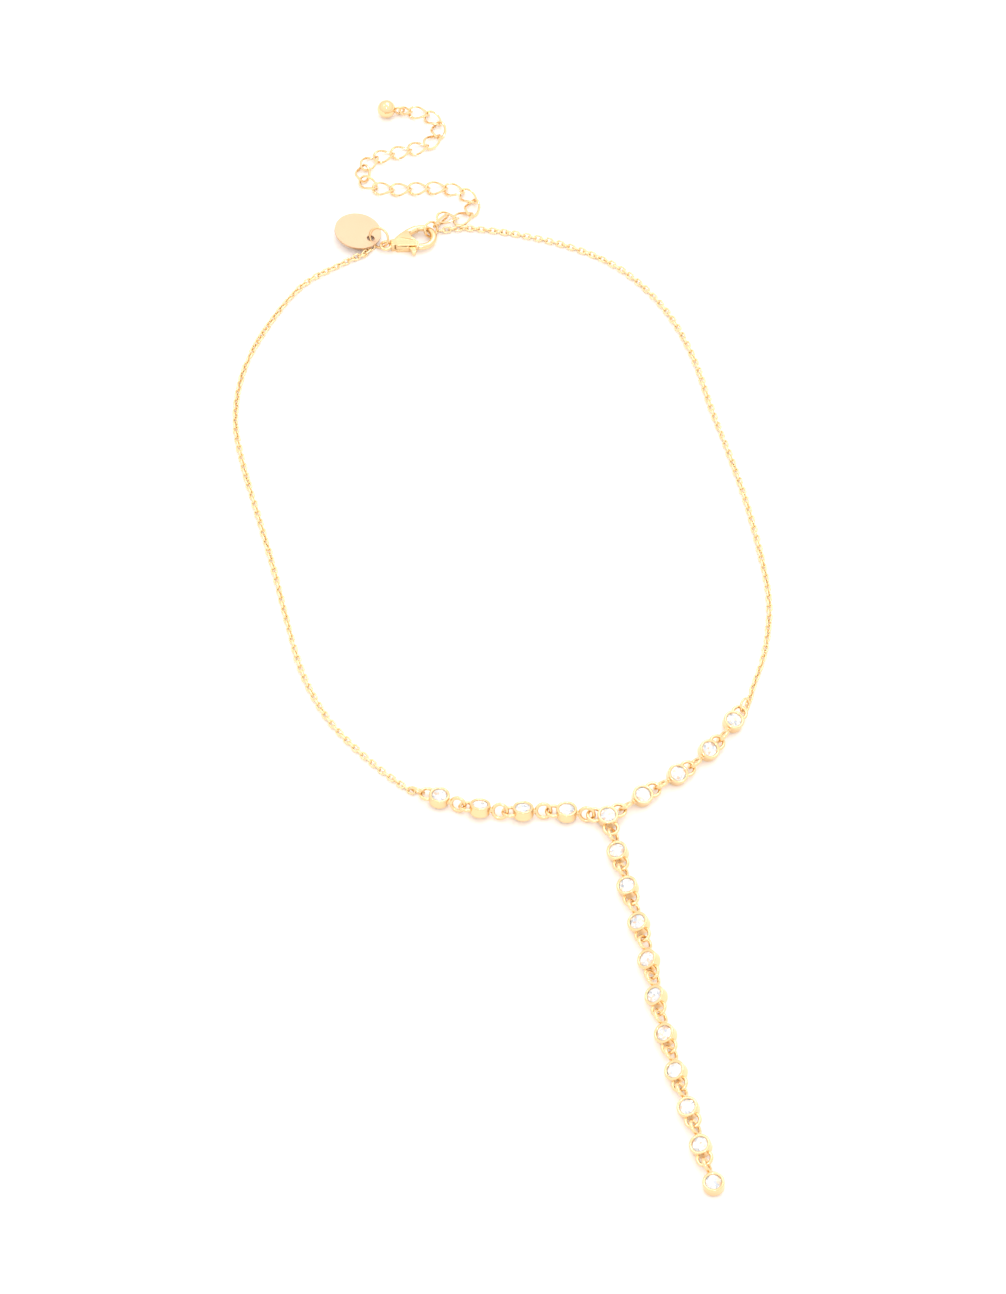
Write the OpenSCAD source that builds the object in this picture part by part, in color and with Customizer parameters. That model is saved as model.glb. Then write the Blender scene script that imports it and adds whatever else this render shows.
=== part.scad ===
// Y necklace lying on a flat surface, seen from above with the drop along -Y.
// A whole loop: two fine chains, two arms of bezel links that meet in a centre bezel, a drop of ten bezel
// links, a lobster clasp with a round tag, and an extender chain that ends in a ball.
// Millimetres. +Z is up, z = 0 is the surface it lies on.

/* [Stones] */
// Diameter of each round stone
stone_d = 3.1; // [2.8:0.1:3.4]
// Height of the crown above the girdle
crown_h = 0.42; // [0.3:0.02:0.55]
// Depth of the pavilion below the girdle
pavilion_h = 1.2; // [0.9:0.05:1.35]
// Thickness of the girdle
girdle_h = 0.08; // [0.05:0.01:0.15]
// Width of the table as a share of the stone
table_share = 0.56; // [0.5:0.01:0.65]
// Clearance between a stone and its cup
stone_gap = 0.03; // [0.02:0.005:0.05]

/* [Cups] */
// Wall of a cup beside the stone
cup_wall = 0.48; // [0.4:0.02:0.7]
// Height of a cup
cup_h = 2.35; // [2.2:0.05:2.6]
// How far the rolled rim reaches over the stone
rim_lip = 0.1; // [0.05:0.01:0.2]
// Radius of the rounded lower edge
cup_edge = 0.55; // [0.3:0.05:0.8]
// How far the table stands above the rim
table_proud = 0.04; // [0:0.01:0.1]

/* [Bezel loops] */
// Wire of the flat loop on the outer side
loop_wire = 0.68; // [0.6:0.02:0.76]
// Outer diameter of the flat loop
loop_d = 3.4; // [3.2:0.1:3.6]
// How far the flat loop stands out from its cup
loop_out = 2.2; // [2.1:0.04:2.4]
// Wire of the upright loop on the inner side
eye_wire = 0.72; // [0.6:0.02:0.78]
// Outer diameter of the upright loop
eye_d = 3.5; // [3.4:0.05:3.6]
// How far the upright loop stands out from its cup
eye_out = 3.64; // [3.6:0.05:3.8]
// Turn of the upright loop out of the upright, the way the cups lean
eye_twist = 20; // [10:1:30]
// Radius of the solder neck of the upright loop at the cup
neck_r = 0.75; // [0.6:0.05:0.9]
// Smallest gap between two loops that hang in each other
loop_gap = 0.05; // [0.03:0.01:0.08]

/* [Arms and drop] */
// Angle that each arm rises from the centre bezel
arm_rise = 22.5; // [20:0.5:25]
// Forward tip of the centre bezel
centre_tip = 3; // [0:0.5:4]

/* [Rings and fine chain] */
// Wire of the jump rings
ring_wire = 0.55; // [0.45:0.05:0.6]
// Outer diameter of the jump rings at the ends of the arms
end_ring_d = 3.3; // [3.1:0.1:3.6]
// Outer diameter of the jump ring that holds the tag
tag_ring_d = 4.9; // [4.6:0.1:5.2]
// Tilt of the jump ring that holds the tag
tag_ring_tilt = 61; // [58:1:64]
// Outer diameter of the jump ring in the hook
hook_ring_d = 3.8; // [3.7:0.1:3.9]
// Tilt of the jump ring in the hook
hook_ring_tilt = 58; // [54:1:60]
// Width of a fine chain, across its links
chain_w = 1.6; // [1.4:0.1:1.8]
// Gap between the end of a fine chain and the ring that holds it
chain_gap = 0.25; // [0.2:0.05:0.4]

/* [Tag] */
// Diameter of the round tag
tag_d = 10; // [9:0.5:11]
// Thickness of the tag
tag_t = 0.5; // [0.4:0.05:0.6]
// Diameter of the hole in the tag
tag_hole_d = 1.7; // [1.7:0.1:2]
// Distance from the rim of the tag to the middle of its hole
tag_hole_in = 1.7; // [1.5:0.1:2]
// Lean of the tag as it lies
tag_lean = 9; // [8:0.5:10]
// Direction from the hole to the middle of the tag
tag_heading = 134; // [128:1:138]

/* [Clasp] */
// Thickness of the clasp
clasp_t = 2.7; // [2.6:0.1:3]
// Radius of the hook, at the middle of its wire
hook_r = 2.6; // [2.5:0.05:2.7]
// Wire of the hook
hook_wire = 1.4; // [1.2:0.05:1.5]
// Wire of the arched back that runs from the hook to the eyelet
back_wire = 1.7; // [1.5:0.05:1.8]
// Radius of the arched back, at the middle of its wire
back_r = 10.5; // [9.5:0.1:11.5]
// Wall of the upper cheek over the lever
cheek_wall = 0.38; // [0.3:0.02:0.45]
// Distance from the middle of the hook to the middle of the eyelet
eyelet_reach = 8.15; // [7.9:0.05:8.5]
// How far the eyelet lies off the middle line of the hook
eyelet_drop = 0.7; // [0.5:0.05:0.9]
// Outer diameter of the eyelet
eyelet_d = 2.8; // [2.7:0.05:3]
// Wire of the eyelet
eyelet_wire = 0.7; // [0.6:0.05:0.75]
// Distance from the pivot of the lever to its tip
lever_len = 4.3; // [4.1:0.05:4.4]
// Width of the lever below its pivot line
lever_w = 1.6; // [1.4:0.05:1.75]
// Thickness of the lever
lever_t = 1.1; // [1:0.05:1.2]
// Diameter of the thumb knob on the lever
knob_d = 1; // [0.8:0.05:1.1]
// Diameter of the pivot pin
pin_d = 0.7; // [0.6:0.05:0.8]
// Radial clearance of the lever on its pin
pin_gap = 0.05; // [0.03:0.01:0.08]
// Clearance beside the lever and at its tip
lever_gap = 0.12; // [0.1:0.01:0.15]

/* [Extender chain] */
// Outer length of a link
link_l = 5.1; // [4.8:0.1:5.4]
// Outer width of a link
link_w = 3.6; // [3.2:0.1:3.8]
// Wire of a link
link_wire = 0.55; // [0.45:0.05:0.6]
// Twist of a link from its middle to either end
link_twist = 42; // [38:1:46]
// Gap between two links on a straight stretch
link_gap = 0.12; // [0.11:0.01:0.16]
// Outer length of the small link beside the ball
bail_l = 3.2; // [3:0.1:3.6]
// Outer width of the small link beside the ball
bail_w = 2.4; // [2.3:0.1:2.6]
// Diameter of the end ball
ball_d = 4; // [3.6:0.1:4.4]
// Outer diameter of the loop on the ball
ball_loop_d = 2.4; // [2.3:0.1:2.6]
// Wire of the loop on the ball
ball_loop_wire = 0.5; // [0.4:0.05:0.5]

/* [Hidden] */
$fn = 64;

// Place of the centre bezel on the surface
centre_at = [3.2, -54.22];
// Place of the middle of the hook on the surface
clasp_at = [-0.25, 97.6];

// One row for each bezel, from the centre outwards
// columns: heading, share of the free play that is taken up, lean about the heading
HEADING = 0;
SLACK = 1;
LEAN = 2;
RIGHT_ARM = [
    [22.5, 0.27, 15],
    [22.5, 0.07, 20],
    [34, 0.06, 20],
    [45, 0.04, 12]
];
LEFT_ARM = [
    [160.5, 0.66, 10],
    [169.5, 0.1, 20],
    [157.5, 0.1, 24],
    [144.5, 0.28, 8]
];
DROP = [
    [-90.5, 0.39, 16],
    [-90, 0.64, 16],
    [-89, 0.12, 22],
    [-92.5, 0.2, 32],
    [-95, 0.79, 32],
    [-90, 0.31, 26],
    [-90.5, 0.65, 26],
    [-86, 0.86, 18],
    [-89.5, 0.6, 16],
    [-86.5, 0.61, 5]
];

// Headings of the extender links, from the clasp to the ball
LINK_HEADINGS = [
    20, 65, 120, 150, 166, 171, 171, 159, 127,
    74, 32, 4, 4, 5, 34, 76, 120, 154
];
// The two links nearest the hook, which lie tilted: the first one hangs in the hook ring
// columns: place from the middle of the hook, heading, pitch, roll, share of the twist
PLACE = 0;
TURN = 1;
PITCH = 2;
ROLL = 3;
TWIST = 4;
TILTED_LINKS = [
    [[4.74, 3.12, 1.78], 36, 8, 107, 0],
    [[6.33, 3.96, 1.3], -15, 4, -9, 1]
];
// Extra gap between two links for each degree that they turn
turn_gap = 0.0045;

// Routes of the fine chains between their end rings
LEFT_ROUTE = [
    [-14.6, 95.8], [-19.5, 94.2], [-28, 90.5], [-37.5, 81], [-44.5, 70.5], [-48.5, 58.5], [-49.2, 46.5],
    [-48.7, 33], [-48.2, 19], [-48.1, 5], [-47.5, -8], [-44.5, -20], [-38.5, -31.2]
];
RIGHT_ROUTE = [
    [10, 98.2], [19.5, 94.3], [30, 88.2], [39, 79.8], [45.3, 67.5], [48, 53.5],
    [48.3, 38.5], [49, 23.5], [49, 9], [47.5, -9.5], [43.5, -22], [38.8, -30.3]
];
// Rings of the swept chain between two points of its route
ROUTE_STEPS = 3;
TUBE_SIDES = 8;

// Cup
stone_r = stone_d / 2;
seat_r = stone_r + stone_gap;
cup_r = seat_r + cup_wall;
mouth_r = stone_r - rim_lip;
rim_r = (cup_r - mouth_r) / 2;
table_r = stone_r * table_share;
crown_slope = crown_h / (stone_r - table_r);
girdle_z = cup_h + table_proud - crown_h - girdle_h;
culet_z = girdle_z - pavilion_h;

// Loops, measured from the axis of the cup to the middle of the wire
loop_r = (loop_d - loop_wire) / 2;
loop_at = cup_r + loop_out - loop_d / 2;
eye_r = (eye_d - eye_wire) / 2;
eye_at = cup_r + eye_out - eye_d / 2;
// Reach of the inner edges of the wires that hang in each other
loop_in = loop_at + loop_r - loop_wire / 2;
eye_in = eye_at + eye_r - eye_wire / 2;
play = loop_in - cup_r - eye_wire - 2 * loop_gap;
bar = loop_in + eye_in;

// Rings
end_ring_r = (end_ring_d - ring_wire) / 2;
tag_ring_r = (tag_ring_d - ring_wire) / 2;
hook_ring_r = (hook_ring_d - ring_wire) / 2;

function dir(a) = [cos(a), sin(a)];
function flat(p, z) = [p[0], p[1], z];

// Height of the middle of a bezel that lies on the edge of its cup or on its upright loop
function cup_rest(lean) =
    (cup_r - cup_edge) * sin(abs(lean)) + (cup_h / 2 - cup_edge) * cos(lean) + cup_edge;
function bezel_rest(lean) = max(cup_rest(lean), eye_r * cos(lean + eye_twist) + eye_wire / 2);
centre_z = max(cup_rest(centre_tip), bezel_rest(0));

// Place of bezel i of a row of bezels that starts at the centre bezel with the heading first
function bezel_at(rows, first, i) = i < 0 ? centre_at :
    bezel_at(rows, first, i - 1)
    + (loop_in - loop_gap / 2 - rows[i][SLACK] * play) * dir(i == 0 ? first : rows[i - 1][HEADING])
    + (eye_in - loop_gap / 2) * dir(rows[i][HEADING]);

// Heights where bezel i hangs in the one before it and where it holds the next one
function joint_z(rows, i) =
    i == 0 ? max(centre_z, bezel_rest(rows[0][LEAN])) :
    i == len(rows) ? bezel_rest(rows[i - 1][LEAN]) :
    max(bezel_rest(rows[i - 1][LEAN]), bezel_rest(rows[i][LEAN]));
function rise(rows, i) = joint_z(rows, i + 1) - joint_z(rows, i);
function bezel_z(rows, i) = joint_z(rows, i) + rise(rows, i) * eye_in / bar;
function nose(rows, i) = asin(rise(rows, i) / bar);

right_last = len(RIGHT_ARM) - 1;
left_last = len(LEFT_ARM) - 1;
right_end = bezel_at(RIGHT_ARM, arm_rise, right_last);
left_end = bezel_at(LEFT_ARM, 180 - arm_rise, left_last);
right_out = RIGHT_ARM[right_last][HEADING];
left_out = LEFT_ARM[left_last][HEADING];

// Middle of the jump ring at the end of an arm, and the point where the fine chain meets it
end_ring_in = loop_in - ring_wire / 2 - loop_gap;
function end_ring_z(rows) = joint_z(rows, len(rows));
function end_ring_roll(rows) = asin(min(0.97, (end_ring_z(rows) - ring_wire / 2) / end_ring_r));
end_ring_reach = end_ring_in + end_ring_r;
chain_reach = end_ring_reach + end_ring_r + ring_wire / 2 + chain_gap;
right_ring_at = right_end + end_ring_reach * dir(right_out);
left_ring_at = left_end + end_ring_reach * dir(left_out);

// Clasp
clasp_z = clasp_t / 2;
eyelet_r = (eyelet_d - eyelet_wire) / 2;
eyelet_at = [-eyelet_reach, -eyelet_drop];
hook_at = [-0.25, -0.2];
hook_end = 102;
nose_end = -100;
back_turn = 32;
back_at = hook_at + (hook_r - back_r) * dir(hook_end);
pivot_at = [-lever_len - 1.2, -hook_r + 1.3];
slot_t = lever_t + 2 * lever_gap;
root_r = 0.8;
slot_back = root_r * 1.75;
lever_swing = 26;
cheek_r = 0.85;
cheek_top = slot_t / 2 + cheek_wall;
knob_at = (lever_len - knob_d / 2 - 0.02) * dir(-42.7);
neck_w = eyelet_wire * 1.25;
neck_x = eyelet_at[0] + eyelet_r;

// Jump ring through the eyelet and the tag, which it holds a little above the surface
tag_ring_heading = -42;
tag_ring_z = tag_ring_r * sin(tag_ring_tilt) + ring_wire / 2;
tag_ring_at = clasp_at + eyelet_at + tag_ring_r * 0.97 * dir(121.5);
tag_lift = 0.62;
tag_r = tag_d / 2;
tag_z = tag_r * sin(tag_lean) + tag_t / 2 * cos(tag_lean) + tag_lift;
tag_hole_reach = tag_r - tag_hole_in;
tag_at = tag_ring_at + tag_ring_r * 0.85 * dir(155) + tag_hole_reach * dir(tag_heading);
left_start = tag_ring_at + tag_ring_r * 1.78 * dir(218);

// Jump ring round the hook
hook_ring_turn = 31;
hook_ring_in = hook_r - hook_wire / 2 - ring_wire / 2 - 0.75;
hook_ring_z = hook_ring_r * sin(hook_ring_tilt) + ring_wire / 2;
hook_ring_at = clasp_at + (hook_ring_in + hook_ring_r) * dir(hook_ring_turn);
right_start = hook_ring_at + 2.2 * hook_ring_r * dir(-2);

// Extender
function turn(i) = abs(LINK_HEADINGS[i + 1] - LINK_HEADINGS[i]);
function half_pitch(i) = (link_l - 2 * link_wire - link_gap - turn_gap * turn(i)) / 2;
function link_at(i) = i == 0 ? link_start :
    link_at(i - 1) + half_pitch(i - 1) * (dir(LINK_HEADINGS[i - 1]) + dir(LINK_HEADINGS[i]));
link_z = (link_w - link_wire) / 2 * 0.45 + link_wire / 2;
link_start = clasp_at + [9.7, 3.5];
last = len(LINK_HEADINGS) - 1;
last_heading = LINK_HEADINGS[last];
bail_heading = 165;
bail_at = link_at(last) + (link_l / 2 - link_wire - link_gap / 2) * dir(last_heading)
    + (bail_l / 2 - link_wire - link_gap / 2) * dir(bail_heading);
bail_pitch = 9;
bail_z = link_z + 0.15;
bail_end = bail_at + (bail_l - link_wire) / 2 * dir(bail_heading);
ball_r = ball_d / 2;
ball_loop_r = (ball_loop_d - ball_loop_wire) / 2;
ball_heading = 172;
ball_dip = 15;
ball_at = bail_end + (ball_r + 2 * ball_loop_r - link_wire - 3 * link_gap) * cos(ball_dip) * dir(ball_heading);

// Ring of round wire in the XY plane
module wire_ring(r, wire) {
    rotate_extrude() translate([r, 0]) circle(d = wire);
}

// Outer form of a cup round the Z axis, with its middle at z = 0
module cup_form() {
    translate([0, 0, -cup_h / 2]) rotate_extrude() {
        square([cup_r - cup_edge, cup_h - rim_r]);
        translate([0, cup_edge]) square([cup_r, cup_h - rim_r - cup_edge]);
        translate([cup_r - cup_edge, cup_edge]) intersection() {
            circle(r = cup_edge);
            translate([-cup_edge / 2, -cup_edge]) square([2 * cup_edge, 2 * cup_edge]);
        }
        translate([cup_r - rim_r, cup_h - rim_r]) circle(r = rim_r);
    }
}

// Hollow that holds a stone, with a lip that follows the crown
module stone_seat() {
    lip_z = girdle_z + girdle_h + stone_gap;
    translate([0, 0, -cup_h / 2]) rotate_extrude() polygon([
        [0, culet_z - 2 * stone_gap],
        [seat_r, girdle_z - stone_gap],
        [seat_r, lip_z],
        [mouth_r, lip_z + (seat_r - mouth_r) * crown_slope],
        [mouth_r, cup_h + rim_r],
        [0, cup_h + rim_r]
    ]);
}

// Bezel: a cup with a flat loop at each of the angles and, if asked, an upright loop on the -X side
module bezel(loop_angles, with_eye) {
    difference() {
        union() {
            cup_form();
            for (a = loop_angles) rotate([0, 0, a]) translate([loop_at, 0, 0]) wire_ring(loop_r, loop_wire);
            if (with_eye) {
                translate([-eye_at, 0, 0]) rotate([90 + eye_twist, 0, 0]) wire_ring(eye_r, eye_wire);
                translate([-cup_r + cup_wall / 2, 0, 0]) rotate([0, -90, 0])
                    cylinder(h = eye_at - eye_r - cup_r + cup_wall / 2, r1 = neck_r, r2 = eye_wire / 2);
            }
        }
        stone_seat();
    }
}

// Round brilliant with an eight-sided table, its girdle measured from the middle of the cup
module brilliant() {
    n = 8;
    step = 360 / n;
    star_r = (stone_r + table_r) / 2 + 0.02 * stone_r;
    star_z = crown_h - (star_r * cos(step / 2) - table_r) * crown_slope;
    lower_r = stone_r * 0.35;
    lower_z = -pavilion_h + lower_r * cos(step / 2) * pavilion_h / stone_r;
    points = concat(
        [for (k = [0:n - 1]) flat(table_r * dir(k * step), crown_h + girdle_h)],
        [for (k = [0:n - 1]) flat(star_r * dir((k + 0.5) * step), star_z + girdle_h)],
        [for (k = [0:2 * n - 1]) flat(stone_r * dir(k * step / 2), girdle_h)],
        [for (k = [0:2 * n - 1]) flat(stone_r * dir(k * step / 2), 0)],
        [for (k = [0:n - 1]) flat(lower_r * dir((k + 0.5) * step), lower_z)],
        [[0, 0, -pavilion_h]]
    );
    star = n;
    upper = 2 * n;
    lower = 4 * n;
    main = 6 * n;
    culet = 7 * n;
    faces = concat(
        [[for (k = [n - 1:-1:0]) k]],
        [for (k = [0:n - 1]) [k, (k + 1) % n, star + k]],
        [for (k = [0:n - 1]) [k, star + k, upper + 2 * k]],
        [for (k = [0:n - 1]) [k, upper + 2 * k, star + (k + n - 1) % n]],
        [for (k = [0:n - 1]) [star + k, upper + 2 * k + 1, upper + 2 * k]],
        [for (k = [0:n - 1]) [star + k, upper + (2 * k + 2) % (2 * n), upper + 2 * k + 1]],
        [for (k = [0:2 * n - 1]) [upper + k, upper + (k + 1) % (2 * n), lower + k]],
        [for (k = [0:2 * n - 1]) [upper + (k + 1) % (2 * n), lower + (k + 1) % (2 * n), lower + k]],
        [for (k = [0:n - 1]) [main + k, lower + 2 * k, lower + 2 * k + 1]],
        [for (k = [0:n - 1]) [main + k, lower + 2 * k + 1, lower + (2 * k + 2) % (2 * n)]],
        [for (k = [0:n - 1]) [culet, lower + 2 * k, main + k]],
        [for (k = [0:n - 1]) [culet, main + (k + n - 1) % n, lower + 2 * k]]
    );
    translate([0, 0, girdle_z - cup_h / 2]) polyhedron(points = points, faces = faces);
}

// Children at the place of the centre bezel
module at_centre() {
    translate(flat(centre_at, centre_z)) rotate([centre_tip, 0, 0]) children();
}

// Children at bezel i of a row, with +X along its heading
module at_bezel(rows, first, i) {
    translate(flat(bezel_at(rows, first, i), bezel_z(rows, i)))
        rotate([0, 0, rows[i][HEADING]]) rotate([0, -nose(rows, i), 0]) rotate([rows[i][LEAN], 0, 0])
        children();
}

module setting_centre() {
    color("gold") at_centre() bezel([arm_rise, 180 - arm_rise, -90], false);
}

module setting_left(i) {
    color("gold") at_bezel(LEFT_ARM, 180 - arm_rise, i) bezel([0], true);
}

module setting_right(i) {
    color("gold") at_bezel(RIGHT_ARM, arm_rise, i) bezel([0], true);
}

// The last bezel of the drop has no flat loop
module setting_drop(i) {
    color("gold") at_bezel(DROP, -90, i) bezel(i == len(DROP) - 1 ? [] : [0], true);
}

module stone_centre() {
    color("white", 0.6) at_centre() brilliant();
}

module stone_left(i) {
    color("white", 0.6) at_bezel(LEFT_ARM, 180 - arm_rise, i) brilliant();
}

module stone_right(i) {
    color("white", 0.6) at_bezel(RIGHT_ARM, arm_rise, i) brilliant();
}

module stone_drop(i) {
    color("white", 0.6) at_bezel(DROP, -90, i) brilliant();
}

// Jump ring that hangs in the last flat loop of an arm
module end_ring(at, rows) {
    color("gold") translate(flat(at, end_ring_z(rows))) rotate([0, 0, rows[len(rows) - 1][HEADING]])
        rotate([end_ring_roll(rows), 0, 0]) wire_ring(end_ring_r, ring_wire);
}

module end_ring_left() {
    end_ring(left_ring_at, LEFT_ARM);
}

module end_ring_right() {
    end_ring(right_ring_at, RIGHT_ARM);
}

// Point on the smooth curve through b and c, with a before and d after them
function curve(a, b, c, d, t) =
    0.5 * (2 * b + (c - a) * t + (2 * a - 5 * b + 4 * c - d) * t * t
    + (3 * b - a - 3 * c + d) * t * t * t);
function route_point(route, i) = route[max(0, min(len(route) - 1, i))];
function smooth(route) = concat(
    [for (i = [0:len(route) - 2], k = [0:ROUTE_STEPS - 1]) curve(
        route_point(route, i - 1), route_point(route, i),
        route_point(route, i + 1), route_point(route, i + 2), k / ROUTE_STEPS)],
    [route[len(route) - 1]]
);

// Tube of a fine chain along a route, with a flat side down
module chain_tube(route) {
    path = smooth(route);
    m = len(path) - 1;
    r = chain_w / 2;
    z = r * cos(180 / TUBE_SIDES);
    function side(i) = let (d = path[min(i + 1, m)] - path[max(i - 1, 0)]) [d[1], -d[0]] / norm(d);
    points = [for (i = [0:m], k = [0:TUBE_SIDES - 1])
        let (a = (k + 0.5) * 360 / TUBE_SIDES)
        flat(path[i] + r * cos(a) * side(i), z + r * sin(a))];
    walls = [for (i = [0:m - 1], k = [0:TUBE_SIDES - 1])
        let (a = i * TUBE_SIDES + k, b = i * TUBE_SIDES + (k + 1) % TUBE_SIDES)
        [a, b, b + TUBE_SIDES, a + TUBE_SIDES]];
    ends = [
        [for (k = [TUBE_SIDES - 1:-1:0]) k],
        [for (k = [0:TUBE_SIDES - 1]) m * TUBE_SIDES + k]
    ];
    polyhedron(points = points, faces = concat(walls, ends));
}

module chain_left() {
    color("gold") chain_tube(concat([left_start], LEFT_ROUTE, [left_end + chain_reach * dir(left_out)]));
}

module chain_right() {
    color("gold") chain_tube(concat([right_start], RIGHT_ROUTE, [right_end + chain_reach * dir(right_out)]));
}

// Outline of the clasp's housing, between its back, its neck and the hook
module clasp_outline() {
    inside = hook_r - hook_wire / 2;
    cheek_len = lever_len - 0.3;
    polygon(concat(
        [[neck_x, eyelet_at[1] + neck_w]],
        [for (a = [hook_end + 30:-6:hook_end + 6]) back_at + back_r * dir(a)],
        [hook_at + [-inside - 0.5, 1.1], hook_at + [-inside - 0.5, 0.3]],
        [pivot_at + [lever_len * 0.74, 0.75], pivot_at + cheek_len * dir(-8), pivot_at + cheek_len * dir(-24)],
        [for (a = [-80:-20:-160]) pivot_at + cheek_r * dir(a)],
        [[neck_x, eyelet_at[1] - neck_w]]
    ));
}

// Domed top of the housing, highest along the lever, with a step down to the cheek
module clasp_dome() {
    along = 8.5;
    across = 12;
    difference() {
        intersection() {
            translate([-4, -1.2, clasp_t / 2 - along]) rotate([0, 90, -12])
                cylinder(h = 30, r = along, center = true);
            translate([-3.2, 0, clasp_t / 2 - across]) rotate([90, 0, 0])
                cylinder(h = 30, r = across, center = true);
        }
        translate(flat(pivot_at + [0.6, 1.2], cheek_top)) rotate([0, 0, -26])
            translate([-6, -8, 0]) cube([16, 8, clasp_t]);
    }
}

// Room between the cheeks for the lever and its swing
module lever_slot() {
    translate([0, 0, -slot_t / 2]) cylinder(h = slot_t, r = root_r + lever_gap);
    translate([0, 0, -slot_t / 2]) linear_extrude(slot_t) polygon(concat(
        [[0, 0]],
        [for (a = [-90:10:lever_swing + 4]) (lever_len + lever_gap) * dir(a)],
        [for (a = [34:10:84]) slot_back * dir(lever_swing + a)]
    ));
}

module clasp_body() {
    color("gold") translate(flat(clasp_at, clasp_z)) {
        difference() {
            union() {
                intersection() {
                    translate([0, 0, -clasp_t / 2]) linear_extrude(clasp_t) clasp_outline();
                    clasp_dome();
                }
                translate(flat(back_at, 0)) rotate([0, 0, hook_end])
                    rotate_extrude(angle = back_turn) translate([back_r, 0]) circle(d = back_wire);
                translate(flat(eyelet_at, 0)) wire_ring(eyelet_r, eyelet_wire);
            }
            translate(pivot_at) lever_slot();
        }
        // Pivot pin across the slot
        translate(flat(pivot_at, -clasp_t / 2)) cylinder(h = clasp_t / 2 + cheek_top, d = pin_d);
        // Hook, from the back round to its nose
        translate(flat(hook_at, 0)) rotate([0, 0, nose_end])
            rotate_extrude(angle = hook_end - nose_end + 3) translate([hook_r, 0]) circle(d = hook_wire);
        difference() {
            translate(flat(hook_at + hook_r * dir(nose_end), 0)) rotate([0, 90, nose_end - 90])
                translate([0, 0, -0.3]) cylinder(h = hook_r, d = hook_wire - 0.02);
            translate(flat(pivot_at, -clasp_t)) cylinder(h = 2 * clasp_t, r = lever_len + lever_gap);
        }
    }
}

module clasp_lever() {
    tip = lever_len + 1;
    color("gold") translate(flat(clasp_at + pivot_at, clasp_z)) difference() {
        union() {
            translate([0, 0, -lever_t / 2]) cylinder(h = lever_t, r = root_r);
            intersection() {
                translate([0, 0, -lever_t / 2]) linear_extrude(lever_t) polygon([
                    [0, root_r], [lever_len * 0.25, root_r * 0.85], [tip, -0.3],
                    [tip, -lever_w * 1.22], [lever_len * 0.3, -lever_w * 0.75], [-root_r * 0.5, -root_r * 0.8]
                ]);
                translate([0, 0, -lever_t]) cylinder(h = 2 * lever_t, r = lever_len);
            }
            // Thumb knob on its stem
            translate([0, 0, -lever_t / 2]) linear_extrude(lever_t) polygon([
                [knob_at[0] - 0.9, -lever_w * 0.6], knob_at - [knob_d * 0.45, 0],
                knob_at + [knob_d * 0.45, 0], [knob_at[0] + 0.65, -lever_w * 0.6]
            ]);
            translate(flat(knob_at, -lever_t / 2)) cylinder(h = lever_t, d = knob_d);
        }
        translate([0, 0, -lever_t]) cylinder(h = 2 * lever_t, r = pin_d / 2 + pin_gap);
    }
}

module tag_ring() {
    color("gold") translate(flat(tag_ring_at, tag_ring_z)) rotate([0, 0, tag_ring_heading])
        rotate([tag_ring_tilt, 0, 0]) wire_ring(tag_ring_r, ring_wire);
}

module tag() {
    color("gold") translate(flat(tag_at, tag_z)) rotate([0, tag_lean, 0]) difference() {
        translate([0, 0, -tag_t / 2]) cylinder(h = tag_t, r = tag_r);
        translate(flat(-tag_hole_reach * dir(tag_heading), -tag_t)) cylinder(h = 2 * tag_t, d = tag_hole_d);
    }
}

module hook_ring() {
    color("gold") translate(flat(hook_ring_at, hook_ring_z)) rotate([0, 0, hook_ring_turn])
        rotate([hook_ring_tilt, 0, 0]) wire_ring(hook_ring_r, ring_wire);
}

// Oval link of round wire with +X along it, twisted so that its neighbours can lie flat beside it
module oval_link(l, w, twist, turns = 22, sides = 6) {
    a = (l - link_wire) / 2;
    b = (w - link_wire) / 2;
    r = link_wire / 2;
    function middle(t) = let (q = -twist * cos(t)) [a * cos(t), b * sin(t) * cos(q), b * sin(t) * sin(q)];
    function out(t) = let (q = -twist * cos(t), f = [b * cos(t), a * sin(t)] / norm([b * cos(t), a * sin(t)]))
        [f[0], f[1] * cos(q), f[1] * sin(q)];
    function up(t) = let (q = -twist * cos(t)) [0, -sin(q), cos(q)];
    points = [for (i = [0:turns - 1], k = [0:sides - 1])
        let (t = i * 360 / turns, s = k * 360 / sides)
        middle(t) + r * cos(s) * out(t) + r * sin(s) * up(t)];
    faces = [for (i = [0:turns - 1], k = [0:sides - 1])
        let (i2 = (i + 1) % turns, k2 = (k + 1) % sides)
        [i * sides + k2, i2 * sides + k2, i2 * sides + k, i * sides + k]];
    polyhedron(points = points, faces = faces);
}

module extender_chain() {
    color("gold") {
        for (i = [0:last]) translate(flat(link_at(i), link_z)) rotate([0, 0, LINK_HEADINGS[i]])
            oval_link(link_l, link_w, link_twist);
        for (t = TILTED_LINKS) translate(flat(clasp_at, 0) + t[PLACE])
            rotate([0, 0, t[TURN]]) rotate([0, t[PITCH], 0]) rotate([t[ROLL], 0, 0])
            oval_link(link_l, link_w, link_twist * t[TWIST]);
    }
}

module ball_link() {
    color("gold") translate(flat(bail_at, bail_z)) rotate([0, -bail_pitch, bail_heading])
        oval_link(bail_l, bail_w, link_twist);
}

module end_ball() {
    color("gold") {
        translate(flat(ball_at, ball_r)) sphere(d = ball_d);
        translate(flat(ball_at, ball_r)) rotate([0, 0, ball_heading + 180]) rotate([0, ball_dip, 0])
            translate([ball_r + ball_loop_r, 0, 0]) rotate([90, 0, 0]) wire_ring(ball_loop_r, ball_loop_wire);
    }
}

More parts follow.
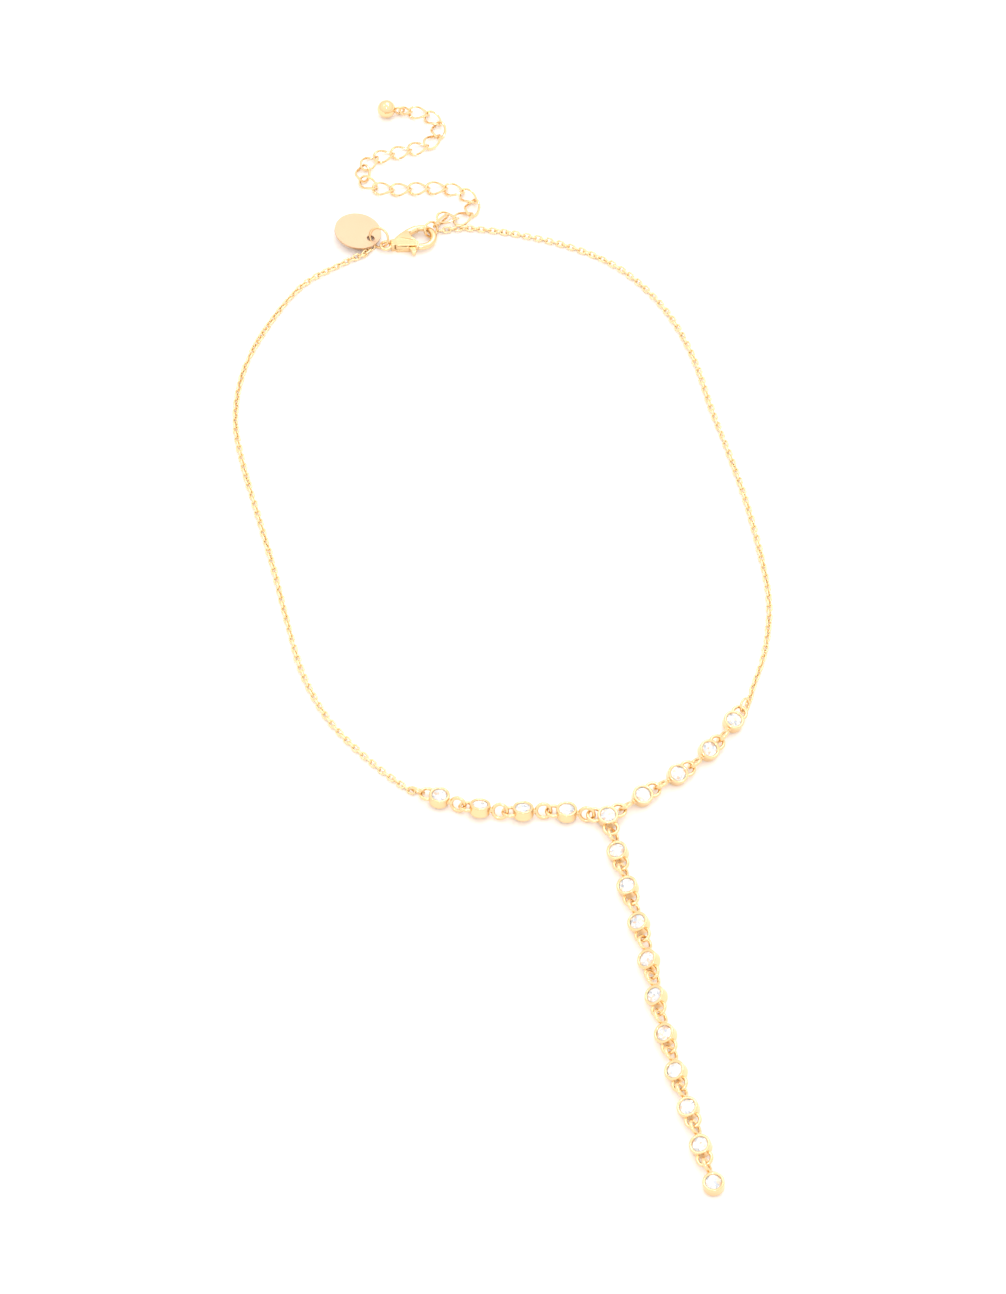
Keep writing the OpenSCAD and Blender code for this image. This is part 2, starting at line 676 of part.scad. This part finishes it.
setting_centre();
setting_left(0);  // setting_left_1
setting_left(1);  // setting_left_2
setting_left(2);  // setting_left_3
setting_left(3);  // setting_left_4
setting_right(0);  // setting_right_1
setting_right(1);  // setting_right_2
setting_right(2);  // setting_right_3
setting_right(3);  // setting_right_4
setting_drop(0);  // setting_drop_01
setting_drop(1);  // setting_drop_02
setting_drop(2);  // setting_drop_03
setting_drop(3);  // setting_drop_04
setting_drop(4);  // setting_drop_05
setting_drop(5);  // setting_drop_06
setting_drop(6);  // setting_drop_07
setting_drop(7);  // setting_drop_08
setting_drop(8);  // setting_drop_09
setting_drop(9);  // setting_drop_10
stone_centre();
stone_left(0);  // stone_left_1
stone_left(1);  // stone_left_2
stone_left(2);  // stone_left_3
stone_left(3);  // stone_left_4
stone_right(0);  // stone_right_1
stone_right(1);  // stone_right_2
stone_right(2);  // stone_right_3
stone_right(3);  // stone_right_4
stone_drop(0);  // stone_drop_01
stone_drop(1);  // stone_drop_02
stone_drop(2);  // stone_drop_03
stone_drop(3);  // stone_drop_04
stone_drop(4);  // stone_drop_05
stone_drop(5);  // stone_drop_06
stone_drop(6);  // stone_drop_07
stone_drop(7);  // stone_drop_08
stone_drop(8);  // stone_drop_09
stone_drop(9);  // stone_drop_10
end_ring_left();
end_ring_right();
chain_left();
chain_right();
clasp_body();
clasp_lever();
tag_ring();
tag();
hook_ring();
extender_chain();
ball_link();
end_ball();
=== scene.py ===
"""Looks for the y necklace: polished and satin gold, clear cut stones, the links of the two fine chains, and
a white studio. Metres, in the frame of the CAD part; small sizes are in millimetres, times MM."""

from math import cos, pi, radians, sin

import bpy
import numpy as np
from mathutils import Matrix, Vector


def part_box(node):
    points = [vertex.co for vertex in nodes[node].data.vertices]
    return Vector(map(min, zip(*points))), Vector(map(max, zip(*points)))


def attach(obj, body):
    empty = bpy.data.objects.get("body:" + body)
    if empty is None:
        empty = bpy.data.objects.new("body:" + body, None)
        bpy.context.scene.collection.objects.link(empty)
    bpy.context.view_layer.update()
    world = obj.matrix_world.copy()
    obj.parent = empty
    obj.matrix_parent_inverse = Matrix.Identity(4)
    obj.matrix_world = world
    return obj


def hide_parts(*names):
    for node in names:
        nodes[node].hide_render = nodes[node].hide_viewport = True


MM = 0.001
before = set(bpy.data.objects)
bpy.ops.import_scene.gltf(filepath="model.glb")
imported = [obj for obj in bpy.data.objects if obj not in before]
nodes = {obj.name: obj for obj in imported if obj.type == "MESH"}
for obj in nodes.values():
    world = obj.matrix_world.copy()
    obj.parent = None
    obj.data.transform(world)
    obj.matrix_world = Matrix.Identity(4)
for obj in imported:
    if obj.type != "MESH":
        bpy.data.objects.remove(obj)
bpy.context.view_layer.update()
scene = bpy.context.scene

# Materials


def new_material(name):
    """A new Principled material: (material, its nodes, its links, the shader)."""
    mat = bpy.data.materials.new(name)
    mat.use_nodes = True
    tree = mat.node_tree
    shader = tree.nodes["Principled BSDF"]
    return mat, tree.nodes, tree.links, shader


def noise(tree_nodes, links, scale, detail, stretch=(1, 1, 1)):
    """A noise texture in object space; scale is in features per metre."""
    coords = tree_nodes.new("ShaderNodeTexCoord")
    mapping = tree_nodes.new("ShaderNodeMapping")
    mapping.inputs["Scale"].default_value = stretch
    tex = tree_nodes.new("ShaderNodeTexNoise")
    tex.inputs["Scale"].default_value = scale
    tex.inputs["Detail"].default_value = detail
    links.new(coords.outputs["Object"], mapping.inputs["Vector"])
    links.new(mapping.outputs["Vector"], tex.inputs["Vector"])
    return tex.outputs["Fac"]


def ramp(tree_nodes, links, source, low, high):
    """Maps a noise value, most of which lies between 0.3 and 0.7, onto the range from low to high."""
    node = tree_nodes.new("ShaderNodeMapRange")
    node.inputs["From Min"].default_value = 0.3
    node.inputs["From Max"].default_value = 0.7
    node.inputs["To Min"].default_value = low
    node.inputs["To Max"].default_value = high
    links.new(source, node.inputs["Value"])
    return node.outputs["Result"]


def mix_colours(tree_nodes, links, factor, a, b):
    """A colour between a and b."""
    node = tree_nodes.new("ShaderNodeMix")
    node.data_type = "RGBA"
    node.inputs["A"].default_value = (*a, 1)
    node.inputs["B"].default_value = (*b, 1)
    links.new(factor, node.inputs["Factor"])
    return node.outputs["Result"]


def bump(tree_nodes, links, height, distance, strength):
    """A bump normal from a height value."""
    node = tree_nodes.new("ShaderNodeBump")
    node.inputs["Distance"].default_value = distance
    node.inputs["Strength"].default_value = strength
    links.new(height, node.inputs["Height"])
    return node.outputs["Normal"]


def colour_stops(marks, stops):
    """Fills a new colour ramp, which has two marks; each stop is (place, colour)."""
    for mark, (place, colour) in zip(marks, stops[:2]):
        mark.position = place
        mark.color = (*colour, 1)
    for place, colour in stops[2:]:
        marks.new(place).color = (*colour, 1)


COLOUR_DRIFT_SCALE = 260
WEAR_SCALE = 1500
WEAR_DEPTH = 0.02 * MM


def metal(name, pale, deep, rough, scratches, stretch=(1, 1, 1)):
    """Gold plating: slight drift of colour and gloss, and fine scratches."""
    mat, n, links, shader = new_material(name)
    shader.inputs["Metallic"].default_value = 1.0
    drift = noise(n, links, COLOUR_DRIFT_SCALE, 4)
    wear = noise(n, links, WEAR_SCALE, 5, stretch)
    links.new(mix_colours(n, links, drift, pale, deep), shader.inputs["Base Color"])
    links.new(ramp(n, links, wear, *rough), shader.inputs["Roughness"])
    links.new(bump(n, links, wear, WEAR_DEPTH, scratches), shader.inputs["Normal"])
    return mat


PALE_GOLD = (0.85, 0.64, 0.375)
DEEP_GOLD = (0.83, 0.585, 0.31)
CHAIN_PALE = (0.89, 0.69, 0.41)
CHAIN_DEEP = (0.87, 0.65, 0.36)
TAG_PALE = (0.61, 0.425, 0.28)
TAG_DEEP = (0.59, 0.405, 0.26)
MIRROR_GLOSS = (0.07, 0.16)
CHAIN_GLOSS = (0.14, 0.26)
SATIN_GLOSS = (0.34, 0.44)
FINE_SCRATCHES = 0.12
BRUSH_MARKS = 0.3
BRUSHED_ALONG_X = (1, 9, 1)

polished = metal("polished_gold", PALE_GOLD, DEEP_GOLD, MIRROR_GLOSS, FINE_SCRATCHES)
fine_gold = metal("fine_chain_gold", CHAIN_PALE, CHAIN_DEEP, CHAIN_GLOSS, FINE_SCRATCHES)
satin = metal("satin_gold", TAG_PALE, TAG_DEEP, SATIN_GLOSS, BRUSH_MARKS, BRUSHED_ALONG_X)

WHITE = (1.0, 1.0, 1.0)
# Painted reflections for the stones' facets: grey-blue cells paint dark reflections, peach cells paint
# reflections of the gold setting, and the other cells are white and cool white.
COOL_WHITE = (0.86, 0.9, 0.95)
PAINTED_DARK_REFLECTION_GREY = (0.62, 0.67, 0.74)
PAINTED_GOLD_REFLECTION_PEACH = (1.0, 0.72, 0.55)
PAINTED_FACET_REFLECTIONS = ((0.0, PAINTED_DARK_REFLECTION_GREY), (0.14, PAINTED_GOLD_REFLECTION_PEACH), (0.3, WHITE), (0.72, COOL_WHITE), (0.84, WHITE))
FACET_CELL_SCALE = 1900
CLEARNESS = (0.15, 0.45)
STONE_ROUGHNESS = 0.02
STONE_IOR = 1.62


def facet_cells(tree_nodes, links, scale):
    """Two random values for each small facet-like cell; scale is in cells per metre."""
    coords = tree_nodes.new("ShaderNodeTexCoord")
    cells = tree_nodes.new("ShaderNodeTexVoronoi")
    cells.inputs["Scale"].default_value = scale
    split = tree_nodes.new("ShaderNodeSeparateColor")
    links.new(coords.outputs["Object"], cells.inputs["Vector"])
    links.new(cells.outputs["Color"], split.inputs["Color"])
    return split.outputs["Red"], split.outputs["Green"]


def crystal():
    """Clear cut glass; the milky share stands for the light that its many facets return, and its base colour
    holds painted facet reflections, grey-blue and peach, cell by cell.
    """
    mat, n, links, shader = new_material("crystal")
    reflection_pick, clearness = facet_cells(n, links, FACET_CELL_SCALE)
    # The stone's base colour, cell by cell, is painted facet reflection.
    painted_reflections = n.new("ShaderNodeValToRGB")
    painted_reflections.color_ramp.interpolation = "CONSTANT"
    colour_stops(painted_reflections.color_ramp.elements, PAINTED_FACET_REFLECTIONS)
    links.new(reflection_pick, painted_reflections.inputs["Fac"])
    links.new(painted_reflections.outputs["Color"], shader.inputs["Base Color"])
    links.new(ramp(n, links, clearness, *CLEARNESS), shader.inputs["Transmission Weight"])
    shader.inputs["Roughness"].default_value = STONE_ROUGHNESS
    shader.inputs["IOR"].default_value = STONE_IOR
    return mat


SILVER = (0.98, 0.99, 1.0)
WARM_SILVER = (1.0, 0.9, 0.84)
FOIL_CLOUD_SCALE = 700
FOIL_GLOSS = (0.03, 0.1)


def foil():
    """The silvered back of a stone, a little warm in places."""
    mat, n, links, shader = new_material("stone_foil")
    shader.inputs["Metallic"].default_value = 1.0
    cloud = noise(n, links, FOIL_CLOUD_SCALE, 2)
    warmth = ramp(n, links, cloud, 0.0, 1.0)
    links.new(mix_colours(n, links, warmth, SILVER, WARM_SILVER), shader.inputs["Base Color"])
    links.new(ramp(n, links, cloud, *FOIL_GLOSS), shader.inputs["Roughness"])
    return mat


FLOOR_DARK = (0.95, 0.9, 0.87)
FLOOR_PALE = (0.97, 0.92, 0.89)
FLOOR_GRAIN_SCALE = 300
FLOOR_ROUGHNESS = 0.6


def floor_material():
    """Plain and pale, with a faint grain."""
    mat, n, links, shader = new_material("white_floor")
    grain = noise(n, links, FLOOR_GRAIN_SCALE, 6)
    links.new(mix_colours(n, links, grain, FLOOR_DARK, FLOOR_PALE), shader.inputs["Base Color"])
    shader.inputs["Roughness"].default_value = FLOOR_ROUGHNESS
    return mat


stone_mat = crystal()
foil_mat = foil()

# The CAD nodes' finish

SMOOTH_UP_TO = 50
LINKS_SMOOTH_UP_TO = 100
BACK_FACING = -0.2


def finish_node(obj, material, smooth_angle=SMOOTH_UP_TO):
    """Gives a CAD node a material, and smooth shading up to an angle in degrees; 0 leaves it flat."""
    obj.data.materials.clear()
    obj.data.materials.append(material)
    if smooth_angle:
        for face in obj.data.polygons:
            face.use_smooth = True
        obj.data.set_sharp_from_angle(angle=radians(smooth_angle))


def table_direction(obj):
    """The direction of a stone's table, its largest flat."""
    area = {}
    for face in obj.data.polygons:
        key = tuple(round(v, 2) for v in face.normal)
        area[key] = area.get(key, 0) + face.area
    return Vector(max(area, key=area.get)).normalized()


def silver_back(obj):
    """Gives the facets below a stone's girdle the foil."""
    obj.data.materials.append(foil_mat)
    up = table_direction(obj)
    for face in obj.data.polygons:
        face.material_index = int(face.normal.dot(up) < BACK_FACING)


for name, obj in nodes.items():
    if name.startswith("stone_"):
        finish_node(obj, stone_mat, 0)
        silver_back(obj)
    elif name == "tag":
        finish_node(obj, satin)
    elif name in ("extender_chain", "ball_link"):
        finish_node(obj, polished, LINKS_SMOOTH_UP_TO)
    else:
        finish_node(obj, polished)

# Fine chains

LINK_PITCH = 1.24 * MM
LINK_LENGTH = 2.06 * MM
LINK_WIDTH = 1.5 * MM
LINK_WIRE = 0.4 * MM
LINK_SEGMENTS = 20
WIRE_SIDES = 8
# Turn of the links about their chain, and how much it wavers, in degrees
LINK_ROLL = 28
ROLL_SPREAD = 9
# Where the line of links ends, from the middle of the ring that it runs to
CLASP_RING_REACH = 1.6 * MM
END_RING_REACH = 0.75 * MM
# Height of the band that holds the upper corners of a CAD tube
TOP_BAND = 0.05 * MM
CURVE_STEPS = 8


def tube_centres(obj):
    """The centre line of a swept CAD tube, end to end, from the two upper corners of each of its rings."""
    pts = np.array([v.co for v in obj.data.vertices])
    pts = np.unique(np.round(pts, 7), axis=0)
    top = pts[pts[:, 2] > pts[:, 2].max() - TOP_BAND][:, :2]
    mids = []
    used = set()
    for i in range(len(top)):
        if i in used:
            continue
        gap = np.linalg.norm(top - top[i], axis=1)
        gap[[i, *used]] = 1
        partner = int(np.argmin(gap))
        used |= {i, partner}
        mids.append((top[i] + top[partner]) / 2)
    mids = np.array(mids)
    # From the end nearest to the clasp, each next centre is the nearest one left
    path = [int(np.argmax(mids[:, 1]))]
    left = set(range(len(mids))) - set(path)
    while left:
        nearest = min(left, key=lambda k: np.linalg.norm(mids[k] - mids[path[-1]]))
        path.append(nearest)
        left.remove(nearest)
    return mids[path]


def curve_point(a, b, c, d, t):
    """A point between b and c on a smooth curve through the four."""
    square = (2 * a - 5 * b + 4 * c - d) * t**2
    cube = (3 * b - a - 3 * c + d) * t**3
    return 0.5 * (2 * b + (c - a) * t + square + cube)


def resample(points, step):
    """Points every step along a smooth curve through the given ones."""
    fine = []
    last = len(points) - 1
    for i in range(last):
        a, b = points[max(i - 1, 0)], points[i]
        c, d = points[i + 1], points[min(i + 2, last)]
        fine += [curve_point(a, b, c, d, k / CURVE_STEPS) for k in range(CURVE_STEPS)]
    fine = np.array([*fine, points[last]])
    along = np.concatenate([[0], np.cumsum(np.linalg.norm(np.diff(fine, axis=0), axis=1))])
    marks = np.linspace(0, along[-1], round(along[-1] / step) + 1)
    return np.stack([np.interp(marks, along, fine[:, k]) for k in (0, 1)], axis=1)


def link_mesh():
    """Vertices and faces of one link with straight sides and round ends, along X."""
    half = (LINK_LENGTH - LINK_WIDTH) / 2
    r = (LINK_WIDTH - LINK_WIRE) / 2
    up = Vector((0, 0, 1))
    verts = []
    faces = []
    for i in range(LINK_SEGMENTS):
        a = 2 * pi * (i + 0.5) / LINK_SEGMENTS
        centre = Vector((r * cos(a) + (half if cos(a) > 0 else -half), r * sin(a), 0))
        out = Vector((cos(a), sin(a), 0))
        row = i * WIRE_SIDES
        next_row = (i + 1) % LINK_SEGMENTS * WIRE_SIDES
        for k in range(WIRE_SIDES):
            b = 2 * pi * k / WIRE_SIDES
            m = (k + 1) % WIRE_SIDES
            verts.append(centre + LINK_WIRE / 2 * (cos(b) * out + sin(b) * up))
            faces.append((row + k, next_row + k, next_row + m, row + m))
    return verts, faces


def build_links(name, centres):
    """One mesh of interlocking links along the centre line, each turned a quarter from the one before it."""
    rng = np.random.default_rng(len(name))
    marks = resample(centres, LINK_PITCH)
    link_verts, link_faces = link_mesh()
    verts = []
    faces = []
    for i in range(len(marks) - 1):
        a, b = marks[i], marks[i + 1]
        mid = (a + b) / 2
        heading = np.arctan2(*(b - a)[::-1])
        quarter = 0 if i % 2 else 90
        roll = radians(LINK_ROLL + quarter + rng.normal(0, ROLL_SPREAD))
        turn = Matrix.Rotation(heading, 4, "Z") @ Matrix.Rotation(roll, 4, "X")
        low = min((turn @ v).z for v in link_verts)
        place = Matrix.Translation((mid[0], mid[1], max(LINK_WIDTH / 2, -low))) @ turn
        base = len(verts)
        verts += [place @ v for v in link_verts]
        faces += [tuple(base + k for k in f) for f in link_faces]
    mesh = bpy.data.meshes.new(name)
    mesh.from_pydata(verts, [], faces)
    for face in mesh.polygons:
        face.use_smooth = True
    obj = bpy.data.objects.new(name, mesh)
    scene.collection.objects.link(obj)
    mesh.materials.append(fine_gold)
    return obj


def middle(node):
    """The middle of a CAD node's box, seen from above."""
    low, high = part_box(node)
    return (np.array(low[:2]) + np.array(high[:2])) / 2


def toward(a, b, reach):
    """The point at that distance from a towards b."""
    return a + (b - a) / np.linalg.norm(b - a) * reach


for side, start, end in (("left", "tag_ring", "end_ring_left"), ("right", "hook_ring", "end_ring_right")):
    cad = f"chain_{side}"
    line = tube_centres(nodes[cad])
    start_at = toward(middle(start), line[0], CLASP_RING_REACH)
    end_at = toward(middle(end), line[-1], END_RING_REACH)
    links = build_links(f"chain_links_{side}", np.vstack([start_at, line, end_at]))
    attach(links, "necklace")
    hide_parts(cad)

# Softer castings


def soften(node, voxel, steps):
    """Rounds the edges of a cast piece a little, as tumbling does."""
    obj = nodes[node]
    remesh = obj.modifiers.new("cast", "REMESH")
    remesh.mode = "VOXEL"
    remesh.voxel_size = voxel
    remesh.use_smooth_shade = True
    smooth = obj.modifiers.new("tumbled", "SMOOTH")
    smooth.factor = 0.5
    smooth.iterations = steps


soften("clasp_body", 0.05 * MM, 10)
soften("clasp_lever", 0.04 * MM, 8)

# Studio

FLOOR_SIZE = 6.0
KEY_AT = (0.45, 0.7, 1.3)
KEY_SIZE = 0.8
KEY_POWER = 3
# Small lamps for bright points on the gold and the facets: (place, power)
SPARKLES = (
    ((-0.12, -0.5, 1.1), 0.8),
    ((0.5, 0.1, 1.2), 0.4),
    ((-0.5, 0.4, 1.1), 0.3),
)
SPARKLE_SIZE = 0.16


def plane(name, size):
    """A square in the middle of the surface that the necklace lies on."""
    mesh = bpy.data.meshes.new(name)
    h = size / 2
    mesh.from_pydata([(-h, -h, 0), (h, -h, 0), (h, h, 0), (-h, h, 0)], [], [(0, 1, 2, 3)])
    obj = bpy.data.objects.new(name, mesh)
    scene.collection.objects.link(obj)
    return obj


def disk_light(name, place, size, power):
    """A round lamp that points at the origin; power in watts."""
    data = bpy.data.lights.new(name, "AREA")
    data.shape = "DISK"
    data.size = size
    data.energy = power
    obj = bpy.data.objects.new(name, data)
    obj.location = place
    obj.rotation_euler = (-Vector(place)).to_track_quat("-Z", "Y").to_euler()
    scene.collection.objects.link(obj)


floor = plane("floor", FLOOR_SIZE)
floor.data.materials.append(floor_material())

disk_light("key", KEY_AT, KEY_SIZE, KEY_POWER)
for number, (place, power) in enumerate(SPARKLES):
    disk_light(f"sparkle_{number}", place, SPARKLE_SIZE, power)

# Surroundings, bright above and a little warmer and darker below

# Colour by height, from straight down or level at 0 to straight up at 1
SKY_BANDS = (
    (0.0, (0.9, 0.86, 0.82)),
    (0.2, (1.0, 0.98, 0.96)),
    (0.5, (1.12, 1.11, 1.1)),
    (1.0, (1.2, 1.2, 1.2)),
)

world = bpy.data.worlds.new("studio")
scene.world = world
world.use_nodes = True
sky_nodes = world.node_tree.nodes
sky_links = world.node_tree.links
sky = sky_nodes["Background"]
sky.inputs["Strength"].default_value = 1.0
sky_coords = sky_nodes.new("ShaderNodeTexCoord")
sky_axes = sky_nodes.new("ShaderNodeSeparateXYZ")
sky_bands = sky_nodes.new("ShaderNodeValToRGB")
sky_links.new(sky_coords.outputs["Generated"], sky_axes.inputs["Vector"])
sky_links.new(sky_axes.outputs["Z"], sky_bands.inputs["Fac"])
sky_links.new(sky_bands.outputs["Color"], sky.inputs["Color"])
colour_stops(sky_bands.color_ramp.elements, SKY_BANDS)

# Camera

CAMERA_AT = Vector((-0.1136, -0.4701, 0.6802))
LOOKS_AT = Vector((-0.0073, -0.0095, 0.0))
LENS = 115.5
FILM_HEIGHT = 36
NEAREST = 0.01
FARTHEST = 20

camera_data = bpy.data.cameras.new("camera")
camera_data.sensor_fit = "VERTICAL"
camera_data.sensor_height = FILM_HEIGHT
camera_data.lens = LENS
camera_data.clip_start = NEAREST
camera_data.clip_end = FARTHEST
camera = bpy.data.objects.new("camera", camera_data)
camera.location = CAMERA_AT
camera.rotation_euler = (LOOKS_AT - CAMERA_AT).to_track_quat("-Z", "Y").to_euler()
scene.collection.objects.link(camera)
scene.camera = camera

scene.view_settings.view_transform = "Standard"
scene.view_settings.look = "None"
scene.view_settings.exposure = 0.3
scene.view_settings.gamma = 1.0
